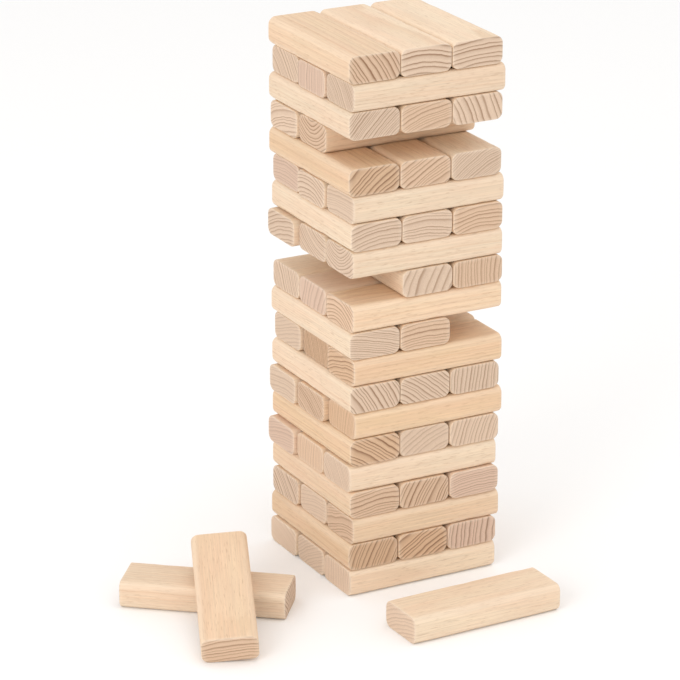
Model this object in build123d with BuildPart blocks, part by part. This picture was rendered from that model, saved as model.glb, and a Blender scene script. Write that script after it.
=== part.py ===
"""A giant tumbling tower: crossed layers of three wooden blocks, with three blocks taken out."""

from build123d import *
import math
import os

# One block
BLOCK_LENGTH = 150.0
BLOCK_WIDTH = 50.0
BLOCK_HEIGHT = 25.0
LONG_EDGE_RADIUS = 6.0
END_EDGE_RADIUS = 1.0

# The stack. Layer 1 rests on the floor; odd layers run along X, even layers along Y.
LAYERS = 20
SIDE_GAP = 0.8
PITCH = BLOCK_WIDTH + SIDE_GAP

# Places that a player has already emptied
TAKEN_OUT = [(17, "front"), (12, "left"), (10, "right")]

# How far a whole layer sits off the tower's axis: (x, y)
LAYER_SHIFT = {
    1: (-1.0, 0.0),
    2: (-1.0, 0.0),
    3: (1.5, -0.5),
    4: (0.0, 0.0),
    5: (-1.5, 0.5),
    6: (0.0, 0.0),
    7: (2.0, -0.5),
    8: (-0.5, 0.0),
    9: (2.0, -0.5),
    10: (-0.5, 0.5),
    11: (1.0, 0.0),
    12: (1.0, 0.0),
    13: (0.5, -0.5),
    14: (0.0, -0.5),
    15: (1.0, -0.5),
    16: (-2.0, 0.5),
    17: (1.0, 0.0),
    18: (-1.5, 0.5),
    19: (1.0, 0.0),
    20: (-2.0, 1.0),
}

# How far single blocks have been nudged along their own length
NUDGE = {
    (1, "back"): -1.5,
    (2, "left"): 0.5,
    (3, "back"): -2.0,
    (4, "right"): -1.0,
    (5, "back"): -3.0,
    (6, "middle"): 1.0,
    (7, "back"): -5.5,
    (7, "middle"): -3.5,
    (7, "front"): 1.0,
    (8, "left"): -0.5,
    (9, "middle"): 2.5,
    (13, "back"): -5.0,
    (14, "middle"): 0.5,
    (15, "middle"): -2.0,
    (16, "right"): -0.5,
    (17, "back"): -2.0,
    (18, "left"): 1.0,
    (19, "middle"): -1.5,
}

# The blocks lying on the floor: x and y of the middle, and the turn about Z from the X axis
RIGHT_X, RIGHT_Y, RIGHT_TURN = 0.0, -163.8, 1.2
LEFT_X, LEFT_Y, LEFT_TURN = -193.3, -26.4, -38.6

# The block that leans over the near edge of the left one: how steep its underside is, how far
# its length is turned from the left block's, where it crosses that block, and the clearance
LEAN_SLOPE = 14.3
LEAN_CROSSING = 105.3
LEAN_ALONG = 25.6
LEAN_CLEARANCE = 0.2


def block_along_x():
    """One block with its middle at the origin and its length along X."""
    with BuildPart() as block:
        with BuildSketch(Plane.YZ):
            RectangleRounded(BLOCK_WIDTH, BLOCK_HEIGHT, LONG_EDGE_RADIUS)
        extrude(amount=BLOCK_LENGTH / 2, both=True)
        ends = block.faces().filter_by(Axis.X)
        fillet(ends.edges(), END_EDGE_RADIUS)
    return block.part


def save(block, name):
    """Name one placed block and write it to its own file."""
    block.part.label = name
    export_step(block.part, f"parts/{name}.step")


def tower_location(layer, side, step):
    """Where one block of the tower stands; step is -1, 0 or 1 across the layer."""
    shift_x, shift_y = LAYER_SHIFT[layer]
    nudge = NUDGE.get((layer, side), 0.0)
    z = (layer - 0.5) * BLOCK_HEIGHT
    if layer % 2:
        return Location((shift_x + nudge, shift_y + step * PITCH, z))
    return Location((shift_x + step * PITCH, shift_y + nudge, z), (0, 0, 90))


def build_tower(master):
    """Every layer of the tower, leaving the places that were emptied."""
    for layer in range(1, LAYERS + 1):
        sides = ("front", "middle", "back") if layer % 2 else ("left", "middle", "right")
        for step, side in zip((-1, 0, 1), sides):
            if (layer, side) in TAKEN_OUT:
                continue
            with BuildPart() as placed:
                add(master.moved(tower_location(layer, side, step)))
            save(placed, f"layer_{layer:02d}_{side}")


def lying_location(x, y, turn):
    """A block flat on the floor."""
    return Location((x, y, BLOCK_HEIGHT / 2), (0, 0, turn))


def floor_height(tilted):
    """How high the middle of a tilted block is when its lowest corner touches the floor."""
    along = tilted.x_dir.Z
    across = tilted.y_dir.Z
    upward = tilted.z_dir.Z
    corner_radius = LONG_EDGE_RADIUS - END_EDGE_RADIUS
    height = abs(along) * (BLOCK_LENGTH / 2 - END_EDGE_RADIUS)
    height += abs(across) * (BLOCK_WIDTH / 2 - LONG_EDGE_RADIUS)
    height += abs(upward) * (BLOCK_HEIGHT / 2 - LONG_EDGE_RADIUS)
    return height + corner_radius * math.hypot(across, upward) + END_EDGE_RADIUS


def leaning_location():
    """The block with one low corner on the floor and its underside on the left block's edge."""
    slope = math.radians(LEAN_SLOPE)
    tilt = Location((0, 0, 0), (LEAN_SLOPE, 0, 0)) * Location((0, 0, 0), (0, 0, LEAN_CROSSING))
    middle_z = floor_height(Plane(tilt))
    reach = LONG_EDGE_RADIUS + LEAN_CLEARANCE + BLOCK_HEIGHT / 2
    edge_y = LONG_EDGE_RADIUS - BLOCK_WIDTH / 2 - reach * math.sin(slope)
    edge_z = BLOCK_HEIGHT - LONG_EDGE_RADIUS + reach * math.cos(slope)
    middle_y = edge_y + (middle_z - edge_z) / math.tan(slope)
    on_left_block = Location((LEFT_X, LEFT_Y, 0), (0, 0, LEFT_TURN))
    return on_left_block * Location((LEAN_ALONG, middle_y, middle_z)) * tilt


def build_loose_blocks(master):
    """The three blocks that were taken out and put down beside the tower."""
    places = {
        "loose_block_right": lying_location(RIGHT_X, RIGHT_Y, RIGHT_TURN),
        "loose_block_left": lying_location(LEFT_X, LEFT_Y, LEFT_TURN),
        "loose_block_leaning": leaning_location(),
    }
    for name, place in places.items():
        with BuildPart() as placed:
            add(master.moved(place))
        save(placed, name)


os.makedirs("parts", exist_ok=True)
one_block = block_along_x()
build_tower(one_block)
build_loose_blocks(one_block)
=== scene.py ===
import itertools
import math
import bpy
import numpy as np
from mathutils import Matrix, Vector


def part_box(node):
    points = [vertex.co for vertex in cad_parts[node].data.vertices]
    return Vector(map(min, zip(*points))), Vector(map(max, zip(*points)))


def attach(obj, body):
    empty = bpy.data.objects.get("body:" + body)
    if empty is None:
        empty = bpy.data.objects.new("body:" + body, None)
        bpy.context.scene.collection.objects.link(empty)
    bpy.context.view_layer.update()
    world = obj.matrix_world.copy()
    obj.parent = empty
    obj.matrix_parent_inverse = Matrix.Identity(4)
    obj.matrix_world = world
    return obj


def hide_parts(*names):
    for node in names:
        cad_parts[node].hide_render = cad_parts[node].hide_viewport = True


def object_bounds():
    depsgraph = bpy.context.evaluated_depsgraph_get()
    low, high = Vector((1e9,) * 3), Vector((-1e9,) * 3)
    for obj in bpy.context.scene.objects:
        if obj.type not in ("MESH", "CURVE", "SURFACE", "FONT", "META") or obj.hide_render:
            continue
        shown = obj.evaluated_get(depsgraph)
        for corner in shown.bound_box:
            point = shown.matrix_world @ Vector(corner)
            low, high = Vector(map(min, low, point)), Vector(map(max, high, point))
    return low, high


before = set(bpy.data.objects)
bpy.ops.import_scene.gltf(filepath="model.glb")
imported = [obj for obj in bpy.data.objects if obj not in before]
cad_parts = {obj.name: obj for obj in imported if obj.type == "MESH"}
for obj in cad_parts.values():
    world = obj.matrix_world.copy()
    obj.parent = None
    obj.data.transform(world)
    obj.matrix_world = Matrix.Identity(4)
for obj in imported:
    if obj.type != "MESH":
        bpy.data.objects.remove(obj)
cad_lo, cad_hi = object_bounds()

# One block, in metres
LENGTH, WIDTH, HEIGHT = 0.150, 0.050, 0.025
LONG_R, END_R = 0.006, 0.001
HALF = np.array([LENGTH / 2, WIDTH / 2, HEIGHT / 2])

# How finely a block is divided: along it, over its wide and narrow faces, round a long edge,
# over an end edge in degrees, and inwards over its ends
STATIONS = 72
FACE_RUNS = (14, 6)
CORNER_STEPS = 6
END_EASE = (0, 18, 36, 54, 72, 90)
CAP_SCALES = (0.85, 0.65, 0.45, 0.22)

# How much the edges are rubbed, from 0 to 1; the same amounts sand them in a little and lighten
# their colour as a painted highlight
LONG_EDGE_WEAR_AND_HIGHLIGHT, LONG_EDGE_BORDER_WEAR_AND_HIGHLIGHT = 0.45, 0.1
END_EDGE_WEAR_AND_HIGHLIGHT, END_EDGE_BORDER_WEAR_AND_HIGHLIGHT = 0.9, 0.3

# Unevenness from sanding, worn corners and dents, in metres
SANDING_DEPTH, SANDING_SIZE = 0.00006, 0.012
CORNER_DEPTH, CORNER_SIZE = 0.0007, 0.005
DENTS = 9
DENT_DEPTH = (0.0002, 0.0007)
DENT_SIZE = (0.0018, 0.0045)

# Turns of the loose blocks, in degrees, as in the CAD
RIGHT_TURN = 1.2
LEFT_TURN = -38.6
LEAN_SLOPE, LEAN_CROSSING = 14.3, 105.3

# Tones: early wood, late wood
TONES = {
    "cream": ((0.80, 0.64, 0.47), (0.64, 0.43, 0.265)),
    "peach": ((0.80, 0.60, 0.41), (0.60, 0.37, 0.21)),
    "tan": ((0.74, 0.53, 0.335), (0.52, 0.30, 0.16)),
    "pink": ((0.785, 0.60, 0.45), (0.60, 0.40, 0.265)),
}

# How each block was cut: slope of the rings on its visible end in degrees, ring spacing in mm,
# distance of the tree's centre in mm (negative: above), tone, strength of the rings
CUTS = {
    "layer_20_left": (-58, 4.4, 190, "peach", 1.0),
    "layer_20_middle": (-4, 5.2, 150, "cream", 0.95),
    "layer_20_right": (4, 4.2, 120, "cream", 0.9),
    "layer_19_front": (-50, 2.2, 150, "cream", 0.7),
    "layer_19_middle": (88, 3.0, 200, "pink", 0.5),
    "layer_19_back": (-48, 3.4, 140, "cream", 0.7),
    "layer_18_left": (45, 2.2, 150, "cream", 0.75),
    "layer_18_middle": (18, 3.0, 120, "peach", 0.6),
    "layer_18_right": (-65, 5.5, 170, "cream", 0.8),
    "layer_17_middle": (5, 3.4, -26, "peach", 0.8),
    "layer_17_back": (16, 3.4, 120, "cream", 0.7),
    "layer_16_left": (38, 4.2, 140, "tan", 0.95),
    "layer_16_middle": (30, 3.4, 140, "peach", 0.75),
    "layer_16_right": (30, 2.2, 170, "cream", 0.55),
    "layer_15_front": (3, 2.8, 200, "cream", 0.35),
    "layer_15_middle": (-4, 3.6, 45, "cream", 0.75),
    "layer_15_back": (0, 3.0, 150, "pink", 0.4),
    "layer_14_left": (6, 3.6, 100, "cream", 0.7),
    "layer_14_middle": (-3, 3.4, 120, "cream", 0.7),
    "layer_14_right": (4, 3.8, 90, "peach", 0.7),
    "layer_13_front": (5, 2.9, -24, "cream", 0.75),
    "layer_13_middle": (-28, 2.9, -60, "cream", 0.75),
    "layer_13_back": (15, 3.6, 100, "cream", 0.7),
    "layer_12_middle": (66, 8.5, 150, "cream", 0.6),
    "layer_12_right": (88, 3.4, 160, "peach", 0.6),
    "layer_11_front": (-12, 3.6, 40, "peach", 0.75),
    "layer_11_middle": (70, 6.5, 220, "pink", 0.4),
    "layer_11_back": (-66, 3.4, 150, "cream", 0.7),
    "layer_10_left": (-14, 2.2, 190, "cream", 0.75),
    "layer_10_middle": (2, 3.4, 140, "peach", 0.7),
    "layer_09_front": (16, 3.4, 100, "tan", 0.75),
    "layer_09_middle": (-68, 2.0, 170, "tan", 0.95),
    "layer_09_back": (20, 3.2, 190, "cream", 0.35),
    "layer_08_left": (-58, 3.6, 150, "cream", 1.0),
    "layer_08_middle": (-36, 3.2, 150, "cream", 0.85),
    "layer_08_right": (84, 3.6, 200, "cream", 0.7),
    "layer_07_front": (80, 3.4, 150, "tan", 0.35),
    "layer_07_middle": (-30, 2.0, 150, "peach", 0.8),
    "layer_07_back": (5, 3.0, 200, "cream", 0.35),
    "layer_06_left": (-35, 3.8, 150, "tan", 1.0),
    "layer_06_middle": (28, 4.4, 100, "cream", 0.4),
    "layer_06_right": (74, 3.8, 190, "cream", 0.6),
    "layer_05_front": (-50, 2.2, 190, "cream", 0.5),
    "layer_05_middle": (86, 3.4, 150, "peach", 0.35),
    "layer_05_back": (10, 3.0, 220, "pink", 0.3),
    "layer_04_left": (3, 3.4, 140, "peach", 0.75),
    "layer_04_middle": (62, 3.8, 150, "peach", 0.95),
    "layer_04_right": (4, 2.4, 140, "pink", 0.6),
    "layer_03_front": (15, 3.4, 120, "peach", 0.65),
    "layer_03_middle": (10, 3.2, 150, "cream", 0.3),
    "layer_03_back": (-45, 4.0, 140, "cream", 0.9),
    "layer_02_left": (64, 3.6, 150, "tan", 0.8),
    "layer_02_middle": (30, 4.2, 140, "tan", 1.0),
    "layer_02_right": (84, 4.4, 200, "pink", 0.8),
    "layer_01_front": (88, 3.2, 160, "cream", 0.4),
    "layer_01_middle": (30, 3.0, 150, "cream", 0.35),
    "layer_01_back": (-20, 3.2, 200, "cream", 0.35),
    "loose_block_left": (50, 3.0, 140, "cream", 0.9),
    "loose_block_leaning": (2, 3.4, 220, "peach", 0.7),
    "loose_block_right": (20, 3.4, 190, "cream", 0.35),
}

# Noise scales per mm: along the block, across it and up
BOW = (0.008, 0.03, 0.03)
WOBBLE = (0.02, 0.25, 0.25)
FIBRE = (0.018, 0.85, 0.85)
HAIR = (0.05, 3.2, 3.2)
CLOUD = (0.012, 0.05, 0.05)
PORES = (0.11, 1.35, 1.35)
SPECKLE = (1.7, 1.7, 1.7)

# How dark a year's growth is, from spring (0) to the end of the next winter (1)
YEAR = ((0.0, 0.10), (0.30, 0.0), (0.66, 0.25), (0.88, 1.0), (0.96, 0.85), (1.0, 0.12))

# End grain begins this far from the middle of a block, in mm
END_GRAIN_FROM = 74.1

# Colours laid over the tones
BLUSH = (0.80, 0.52, 0.36, 1)
PORE_BROWN = (0.42, 0.24, 0.13, 1)
# Lighter colour laid on rubbed edges: partly wear, partly a painted highlight
WEAR_AND_HIGHLIGHT_COLOUR = (0.93, 0.80, 0.64, 1)
END_EARLY = (0.925, 0.90, 0.935, 1)
END_LATE = (0.55, 0.51, 0.52, 1)
SPECK_DARK = (0.86, 0.82, 0.79, 1)
SPECK_LIGHT = (1.05, 1.03, 1.02, 1)

# The bumps of the wood: how strong, and how deep in metres
BUMP_STRENGTH, BUMP_DEPTH = 0.55, 0.00035

FLOOR_HALF = 8.0
TOWER_MIDDLE = (0, 0, 0.25)

# The camera, in metres, degrees and millimetres
CAMERA_AT = (-1.4381, -2.5811, 1.3030)
YAW, PITCH, ROLL = 28.34, 20.34, 0.13
LENS, SENSOR = 185.2, 36.0


def turned(axis, degrees):
    return Matrix.Rotation(math.radians(degrees), 3, axis)


def block_turn(name):
    """How a block lies: its length is the first axis, its width the second."""
    if name == "loose_block_right":
        return turned("Z", RIGHT_TURN)
    if name == "loose_block_left":
        return turned("Z", LEFT_TURN)
    if name == "loose_block_leaning":
        return turned("Z", LEFT_TURN) @ turned("X", LEAN_SLOPE) @ turned("Z", LEAN_CROSSING)
    layer = int(name[6:8])
    return turned("Z", 0 if layer % 2 else 90)


def section(inset=0.0):
    """Outline of the cross-section, and how much each of its points is rubbed, which also lightens
    it as a painted highlight.
    """
    points, wear_and_highlight_levels = [], []
    half_w, half_h = WIDTH / 2 - LONG_R, HEIGHT / 2 - LONG_R
    r = LONG_R - inset
    corners = [(1, 1, 0), (-1, 1, 90), (-1, -1, 180), (1, -1, 270)]
    for i, (side, top, start) in enumerate(corners):
        for step in range(CORNER_STEPS + 1):
            a = math.radians(start + 90 / CORNER_STEPS * step)
            points.append((side * half_w + r * math.cos(a), top * half_h + r * math.sin(a)))
            rise = math.sin(math.radians(180 / CORNER_STEPS * step))
            inside = 0 < step < CORNER_STEPS
            wear_and_highlight_levels.append(LONG_EDGE_WEAR_AND_HIGHLIGHT * rise ** 0.5 if inside else LONG_EDGE_BORDER_WEAR_AND_HIGHLIGHT)
        runs = FACE_RUNS[i % 2]
        x0, y0 = points[-1]
        next_side, next_top, next_start = corners[(i + 1) % 4]
        b = math.radians(next_start)
        x1 = next_side * half_w + r * math.cos(b)
        y1 = next_top * half_h + r * math.sin(b)
        for step in range(1, runs):
            t = step / runs
            points.append((x0 + (x1 - x0) * t, y0 + (y1 - y0) * t))
            wear_and_highlight_levels.append(0.0)
    return np.array(points), np.array(wear_and_highlight_levels)


def block_rings():
    """The outlines along a block with their places, and how much their points are rubbed, which
    also lightens them as a painted highlight.
    """
    rings, wear_and_highlight_rings = [], []
    for degrees in END_EASE:
        a = math.radians(degrees)
        outline, wear_and_highlight_levels = section(END_R * (1 - math.sin(a)))
        x = LENGTH / 2 - END_R * (1 - math.cos(a))
        rings.append((-x, outline))
        on_edge = 0 < degrees < 90
        end_wear_and_highlight = END_EDGE_WEAR_AND_HIGHLIGHT * math.sin(2 * a) if on_edge else END_EDGE_BORDER_WEAR_AND_HIGHLIGHT
        wear_and_highlight_rings.append(np.maximum(wear_and_highlight_levels, end_wear_and_highlight))
    outline, wear_and_highlight_levels = section()
    for i in range(1, STATIONS):
        rings.append((-LENGTH / 2 + END_R + (LENGTH - 2 * END_R) * i / STATIONS, outline))
        wear_and_highlight_rings.append(wear_and_highlight_levels)
    eased = len(END_EASE)
    rings += [(-x, end_outline) for x, end_outline in rings[:eased][::-1]]
    wear_and_highlight_rings += wear_and_highlight_rings[:eased][::-1]
    return rings, wear_and_highlight_rings


def block_points(rings, wear_and_highlight_rings):
    """All points of a block, those inside its ends last, and how much each is rubbed, which also
    lightens it as a painted highlight.
    """
    n = len(rings[0][1])
    verts = [np.column_stack([np.full(n, x), outline]) for x, outline in rings]
    wear_and_highlight_levels = list(wear_and_highlight_rings)
    for sign, outline in ((-1, rings[0][1]), (1, rings[-1][1])):
        for scale in CAP_SCALES:
            verts.append(np.column_stack([np.full(n, sign * LENGTH / 2), outline * scale]))
            wear_and_highlight_levels.append(np.zeros(n))
    tips = [[-LENGTH / 2, 0, 0], [LENGTH / 2, 0, 0]]
    return np.concatenate(verts + [tips]), np.concatenate(wear_and_highlight_levels + [[0.0, 0.0]])


def block_faces(n, count, total):
    """Quads round the block, then rings of quads and a fan to close each end."""
    faces = []
    around = [(j, (j + 1) % n) for j in range(n)]
    for i in range(count - 1):
        a, b = i * n, (i + 1) * n
        faces += [(a + j, a + k, b + k, b + j) for j, k in around]
    caps = len(CAP_SCALES)
    for first, start, tip, flip in ((0, count, -2, True), (count - 1, count + caps, -1, False)):
        loop = [first] + list(range(start, start + caps))
        for i in range(caps):
            a, b = loop[i] * n, loop[i + 1] * n
            quads = [(a + j, a + k, b + k, b + j) for j, k in around]
            faces += [q[::-1] for q in quads] if flip else quads
        last, end = loop[caps] * n, total + tip
        fans = [(last + j, last + k, end) for j, k in around]
        faces += [f[::-1] for f in fans] if flip else fans
    return faces


def waves(rng, p, size, count=5):
    """Soft unevenness, from -1 to 1, with features of about this size."""
    total = np.zeros(len(p))
    for _ in range(count):
        k = rng.normal(size=3) / size
        total += np.sin(p @ k + rng.uniform(0, 2 * math.pi))
    return total / count


def wear_down(rng, verts, wear_and_highlight_levels):
    """Sanding, worn corners and dents; they only ever move a point inwards."""
    inward = -verts / HALF * np.array([0.3, 0.6, 1.0])
    inward /= np.linalg.norm(inward, axis=1, keepdims=True) + 1e-9
    depth = SANDING_DEPTH * (1 + waves(rng, verts, SANDING_SIZE)) * (0.4 + wear_and_highlight_levels)
    for corner in itertools.product((-1, 1), repeat=3):
        d = np.linalg.norm(verts - HALF * corner, axis=1)
        depth += rng.uniform(0.0, CORNER_DEPTH) * np.exp(-(d / CORNER_SIZE) ** 2)
    for _ in range(DENTS):
        spot = HALF * (rng.uniform(-0.97, 0.97), rng.choice((-1, 1)), rng.choice((-1, 1)))
        spot -= HALF * (0, 0.03, 0.06) * np.sign(spot)
        size = rng.uniform(*DENT_SIZE)
        d = np.linalg.norm((verts - spot) * (0.6, 1, 1), axis=1)
        depth += rng.uniform(*DENT_DEPTH) * np.exp(-(d / size) ** 2)
    return verts + inward * depth[:, None]


def block_mesh(name, seed):
    """A sanded block: rounded along its length, eased at its ends, slightly worn and uneven."""
    rings, wear_and_highlight_rings = block_rings()
    verts, wear_and_highlight_levels = block_points(rings, wear_and_highlight_rings)
    shaped = wear_down(np.random.default_rng(seed), verts, wear_and_highlight_levels)
    lo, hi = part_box(name)
    world = shaped @ np.array(block_turn(name)).T + np.array((lo + hi) / 2)
    faces = block_faces(len(rings[0][1]), len(rings), len(verts))
    mesh = bpy.data.meshes.new(name + "_wood")
    mesh.from_pydata(world.tolist(), [], faces)
    mesh.polygons.foreach_set("use_smooth", [True] * len(mesh.polygons))
    grain = mesh.attributes.new("grain", "FLOAT_VECTOR", "POINT")
    grain.data.foreach_set("vector", (shaped * 1000).ravel())
    # How much each point is rubbed, kept for the material, which lightens rubbed edges as a painted
    # highlight
    wear_and_highlight = mesh.attributes.new("wear_and_highlight", "FLOAT", "POINT")
    wear_and_highlight.data.foreach_set("value", wear_and_highlight_levels)
    mesh.update()
    return mesh


class Graph:
    """Short spellings for building a node tree."""

    def __init__(self, tree):
        self.tree = tree

    def put(self, socket, value):
        if isinstance(value, bpy.types.NodeSocket):
            self.tree.links.new(value, socket)
        else:
            socket.default_value = value

    def node(self, kind, **inputs):
        made = self.tree.nodes.new(kind)
        for key, value in inputs.items():
            self.put(made.inputs[key], value)
        return made

    def stored(self, name):
        made = self.tree.nodes.new("ShaderNodeAttribute")
        made.attribute_name = name
        return made.outputs

    def math(self, operation, a, b=0.0, c=0.0, clamp=False):
        made = self.tree.nodes.new("ShaderNodeMath")
        made.operation, made.use_clamp = operation, clamp
        for socket, value in zip(made.inputs, (a, b, c)):
            self.put(socket, value)
        return made.outputs[0]

    def vector(self, operation, a, b):
        made = self.tree.nodes.new("ShaderNodeVectorMath")
        made.operation = operation
        self.put(made.inputs[0], a)
        self.put(made.inputs[1], b)
        return made.outputs[1 if operation == "LENGTH" else 0]

    def scaled(self, a, factor):
        made = self.tree.nodes.new("ShaderNodeVectorMath")
        made.operation = "SCALE"
        self.put(made.inputs[0], a)
        self.put(made.inputs["Scale"], factor)
        return made.outputs[0]

    def noise(self, at, scale, detail, rough=0.55):
        stretched = self.vector("MULTIPLY", at, scale)
        made = self.node("ShaderNodeTexNoise", Vector=stretched, Scale=1.0, Detail=detail,
                         Roughness=rough)
        return made.outputs["Fac"]

    def ramp(self, value, *stops):
        made = self.node("ShaderNodeValToRGB", Fac=value)
        items = made.color_ramp.elements
        while len(items) < len(stops):
            items.new(0.5)
        for item, (at, level) in zip(items, stops):
            item.position, item.color = at, (level, level, level, 1)
        return made.outputs["Color"]

    def mix(self, factor, a, b, blend="MIX"):
        made = self.tree.nodes.new("ShaderNodeMix")
        made.data_type, made.blend_type = "RGBA", blend
        for socket, value in zip((made.inputs[0], made.inputs[6], made.inputs[7]), (factor, a, b)):
            self.put(socket, value)
        return made.outputs[2]


def wood_sockets(face):
    """What the wood is told, and what it gives back."""
    told = (("Centre", "Vector"), ("Lean", "Vector"), ("Shift", "Vector"),
            ("Spacing", "Float"), ("Strength", "Float"), ("Early", "Color"), ("Late", "Color"))
    given_back = (("Color", "Color"), ("Roughness", "Float"), ("Height", "Float"))
    for name, kind in told:
        face.new_socket(name=name, in_out="INPUT", socket_type="NodeSocket" + kind)
    for name, kind in given_back:
        face.new_socket(name=name, in_out="OUTPUT", socket_type="NodeSocket" + kind)


def growth_rings(g, given, at, along, seeded):
    """How much late wood there is at a point, and how bold that year's ring is."""
    from_centre = g.vector("SUBTRACT", at, given["Centre"])
    from_centre = g.vector("SUBTRACT", from_centre, g.scaled(given["Lean"], along))
    radius = g.vector("LENGTH", g.vector("MULTIPLY", from_centre, (0, 1, 1)), (0, 0, 0))
    drift = g.math("MULTIPLY_ADD", g.noise(seeded, BOW, 2), 6.0, radius)
    drift = g.math("MULTIPLY_ADD", g.noise(seeded, WOBBLE, 2), 0.7, drift)
    years = g.math("DIVIDE", drift, given["Spacing"])
    uneven = g.node("ShaderNodeTexNoise", Scale=1.0, Detail=1.0)
    uneven.noise_dimensions = "1D"
    g.put(uneven.inputs["W"], g.math("MULTIPLY", years, 0.37))
    years = g.math("MULTIPLY_ADD", uneven.outputs["Fac"], 1.6, years)
    late = g.ramp(g.math("FRACT", years), *YEAR)
    which = g.node("ShaderNodeTexWhiteNoise")
    which.noise_dimensions = "1D"
    g.put(which.inputs["W"], g.math("FLOOR", years))
    bold = g.math("MULTIPLY_ADD", which.outputs["Value"], 0.55, 0.45)
    return late, bold


def side_colour(g, given, rings, fibre, hair, cloud):
    """Rings, soft clouds of colour and the streaks of the fibres."""
    colour = g.mix(rings, given["Early"], given["Late"])
    blush = g.math("MULTIPLY", g.ramp(cloud, (0.35, 0.0), (0.7, 1.0)), 0.35)
    colour = g.mix(blush, colour, BLUSH)
    streaks = g.math("SUBTRACT", g.math("MULTIPLY_ADD", fibre, 0.42, 0.79), 0.06)
    streaks = g.math("MULTIPLY_ADD", hair, 0.12, streaks)
    shade = g.node("ShaderNodeCombineXYZ", X=streaks, Y=streaks, Z=streaks).outputs[0]
    return g.mix(1.0, colour, shade, "MULTIPLY")


def end_colour(g, given, late, bold, speckle):
    """Darker rings and fine speckle on the sawn ends."""
    dark = g.math("MULTIPLY", late, given["Strength"])
    dark = g.math("MULTIPLY", g.math("MULTIPLY_ADD", bold, 0.7, 0.6), dark)
    dark = g.math("MULTIPLY", dark, g.math("MULTIPLY_ADD", speckle, 0.9, 0.55), clamp=True)
    early = g.mix(1.0, given["Early"], END_EARLY, "MULTIPLY")
    late_wood = g.mix(1.0, given["Late"], END_LATE, "MULTIPLY")
    speck = g.mix(g.ramp(speckle, (0.32, 0.0), (0.68, 1.0)), SPECK_DARK, SPECK_LIGHT)
    return g.mix(1.0, g.mix(dark, early, late_wood), speck, "MULTIPLY")


def wood_group():
    """Growth rings round a slightly leaning centre line, fibres, pores, and worn edges that are
    smoother and lightened in colour as a painted highlight.
    """
    tree = bpy.data.node_groups.new("sawn_softwood", "ShaderNodeTree")
    wood_sockets(tree.interface)
    g = Graph(tree)
    given = tree.nodes.new("NodeGroupInput").outputs
    at = g.stored("grain")["Vector"]
    wear_and_highlight = g.stored("wear_and_highlight")["Fac"]
    along = g.node("ShaderNodeSeparateXYZ", Vector=at).outputs["X"]
    seeded = g.vector("ADD", at, given["Shift"])
    fibre = g.noise(seeded, FIBRE, 4, 0.6)
    hair = g.noise(seeded, HAIR, 2, 0.5)
    cloud = g.noise(seeded, CLOUD, 2)
    speckle = g.noise(seeded, SPECKLE, 3, 0.7)
    pores = g.ramp(g.noise(seeded, PORES, 2, 0.4), (0.0, 0.0), (0.60, 0.0), (0.71, 1.0))
    end_grain = g.math("SUBTRACT", g.math("ABSOLUTE", along), END_GRAIN_FROM)
    end_grain = g.math("MULTIPLY", end_grain, 1.6, clamp=True)

    late, bold = growth_rings(g, given, at, along, seeded)
    rings = g.math("MULTIPLY", g.math("MULTIPLY", late, bold), given["Strength"])
    rings = g.math("MULTIPLY", rings, g.math("MULTIPLY_ADD", fibre, 0.7, 0.25), clamp=True)
    colour = side_colour(g, given, rings, fibre, hair, cloud)
    side_only = g.math("SUBTRACT", 1.0, end_grain)
    side_pores = g.math("MULTIPLY", g.math("MULTIPLY", pores, 0.34), side_only)
    colour = g.mix(side_pores, colour, PORE_BROWN)
    colour = g.mix(end_grain, colour, end_colour(g, given, late, bold, speckle))
    # Rubbed edges lightened in colour: partly wear, partly a painted highlight
    wear_and_highlight_mix = g.math("MULTIPLY", wear_and_highlight, g.math("MULTIPLY_ADD", cloud, 0.4, 0.25))
    colour = g.mix(wear_and_highlight_mix, colour, WEAR_AND_HIGHLIGHT_COLOUR)

    rough = g.math("MULTIPLY_ADD", fibre, 0.18, 0.50)
    rough = g.math("MULTIPLY_ADD", end_grain, 0.16, rough)
    rough = g.math("MULTIPLY_ADD", wear_and_highlight, -0.08, rough)
    height = g.math("MULTIPLY_ADD", rings, 0.5, g.math("MULTIPLY", fibre, 0.7))
    height = g.math("MULTIPLY_ADD", pores, -0.5, height)
    height = g.math("MULTIPLY_ADD", hair, 0.35, height)
    height = g.math("MULTIPLY_ADD", g.math("MULTIPLY", speckle, end_grain), 1.2, height)
    out = tree.nodes.new("NodeGroupOutput")
    g.put(out.inputs["Color"], colour)
    g.put(out.inputs["Roughness"], rough)
    g.put(out.inputs["Height"], height)
    return tree


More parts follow.
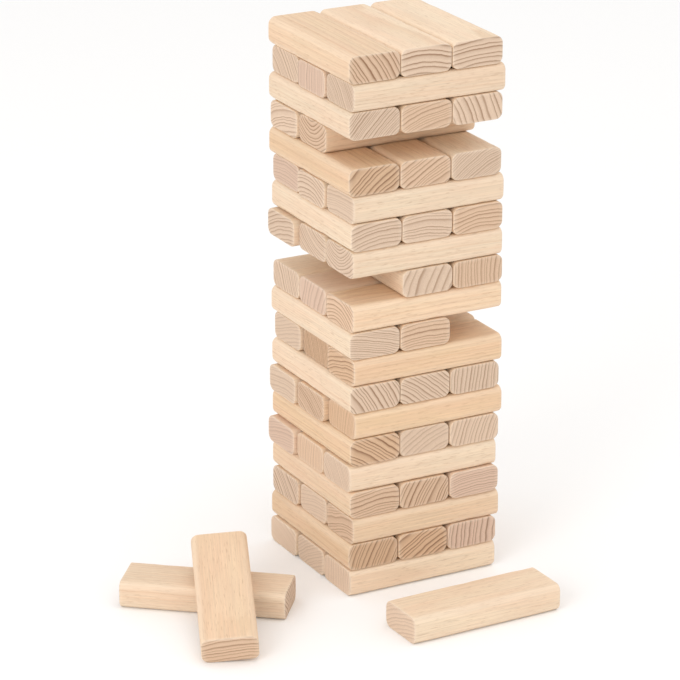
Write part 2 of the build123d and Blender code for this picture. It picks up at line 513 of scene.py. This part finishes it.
def wood(name, group, seed):
    """This block's own piece of the tree."""
    angle, spacing, distance, tone, strength = CUTS[name]
    rng = np.random.default_rng(seed + 500)
    a = math.radians(angle)
    material = bpy.data.materials.new(name + "_wood")
    material.use_nodes = True
    tree = material.node_tree
    shader = tree.nodes["Principled BSDF"]
    made = tree.nodes.new("ShaderNodeGroup")
    made.node_tree = group
    lean = rng.normal(0, 0.012, 2)
    made.inputs["Centre"].default_value = (0, -distance * math.sin(a), -distance * math.cos(a))
    made.inputs["Lean"].default_value = (0, lean[0], lean[1])
    made.inputs["Shift"].default_value = rng.uniform(-400, 400, 3)
    made.inputs["Spacing"].default_value = spacing
    made.inputs["Strength"].default_value = strength
    gain = rng.uniform(0.95, 1.05)
    for socket, colour in zip(("Early", "Late"), TONES[tone]):
        made.inputs[socket].default_value = tuple(min(1.0, c * gain) for c in colour) + (1,)
    bump = tree.nodes.new("ShaderNodeBump")
    bump.inputs["Strength"].default_value = BUMP_STRENGTH
    bump.inputs["Distance"].default_value = BUMP_DEPTH
    tree.links.new(made.outputs["Color"], shader.inputs["Base Color"])
    tree.links.new(made.outputs["Roughness"], shader.inputs["Roughness"])
    tree.links.new(made.outputs["Height"], bump.inputs["Height"])
    tree.links.new(bump.outputs["Normal"], shader.inputs["Normal"])
    shader.inputs["Specular IOR Level"].default_value = 0.3
    return material


def make_blocks():
    group = wood_group()
    for seed, name in enumerate(sorted(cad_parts)):
        mesh = block_mesh(name, seed)
        mesh.materials.append(wood(name, group, seed))
        piece = bpy.data.objects.new(name + "_block", mesh)
        bpy.context.scene.collection.objects.link(piece)
        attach(piece, name)
        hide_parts(name)


def plain_material(name, colour, rough):
    material = bpy.data.materials.new(name)
    material.use_nodes = True
    shader = material.node_tree.nodes["Principled BSDF"]
    shader.inputs["Base Color"].default_value = colour
    shader.inputs["Roughness"].default_value = rough
    return material


def make_floor():
    mesh = bpy.data.meshes.new("floor")
    corners = [(FLOOR_HALF * x, FLOOR_HALF * y, 0) for x, y in ((-1, -1), (1, -1), (1, 1), (-1, 1))]
    mesh.from_pydata(corners, [], [(0, 1, 2, 3)])
    mesh.materials.append(plain_material("floor_white", (0.97, 0.97, 0.97, 1), 0.9))
    floor = bpy.data.objects.new("floor", mesh)
    floor.location.z = cad_lo.z
    bpy.context.scene.collection.objects.link(floor)


def area_light(name, at, target, size, watts):
    data = bpy.data.lights.new(name, "AREA")
    data.shape, data.size, data.energy = "DISK", size, watts
    lamp = bpy.data.objects.new(name, data)
    lamp.location = at
    lamp.rotation_euler = (Vector(target) - Vector(at)).to_track_quat("-Z", "Y").to_euler()
    bpy.context.scene.collection.objects.link(lamp)


def make_lights():
    world = bpy.data.worlds.new("studio")
    world.use_nodes = True
    sky = world.node_tree.nodes["Background"]
    sky.inputs["Color"].default_value = (1.0, 0.99, 0.98, 1)
    sky.inputs["Strength"].default_value = 0.95
    bpy.context.scene.world = world
    area_light("key", (-2.5, -1.5, 1.5), TOWER_MIDDLE, 1.6, 23)
    area_light("top", (0.3, -0.3, 2.6), TOWER_MIDDLE, 1.6, 7)


def make_camera():
    """Looks down at about 20 degrees on the -Y and -X faces, from a little over 3 m."""
    yaw, pitch, roll = math.radians(YAW), math.radians(PITCH), math.radians(ROLL)
    ahead = Vector((math.sin(yaw) * math.cos(pitch), math.cos(yaw) * math.cos(pitch),
                    -math.sin(pitch)))
    right = Vector((math.cos(yaw), -math.sin(yaw), 0))
    up = right.cross(ahead)
    side = right * math.cos(roll) + up * math.sin(roll)
    top = up * math.cos(roll) - right * math.sin(roll)
    data = bpy.data.cameras.new("camera")
    data.lens, data.sensor_width = LENS, SENSOR
    data.clip_start, data.clip_end = 0.1, 50
    camera = bpy.data.objects.new("camera", data)
    camera.matrix_world = Matrix((side, top, -ahead)).transposed().to_4x4()
    camera.location = CAMERA_AT
    bpy.context.scene.collection.objects.link(camera)
    bpy.context.scene.camera = camera


make_blocks()
make_floor()
make_lights()
make_camera()
bpy.context.scene.view_settings.view_transform = "Standard"
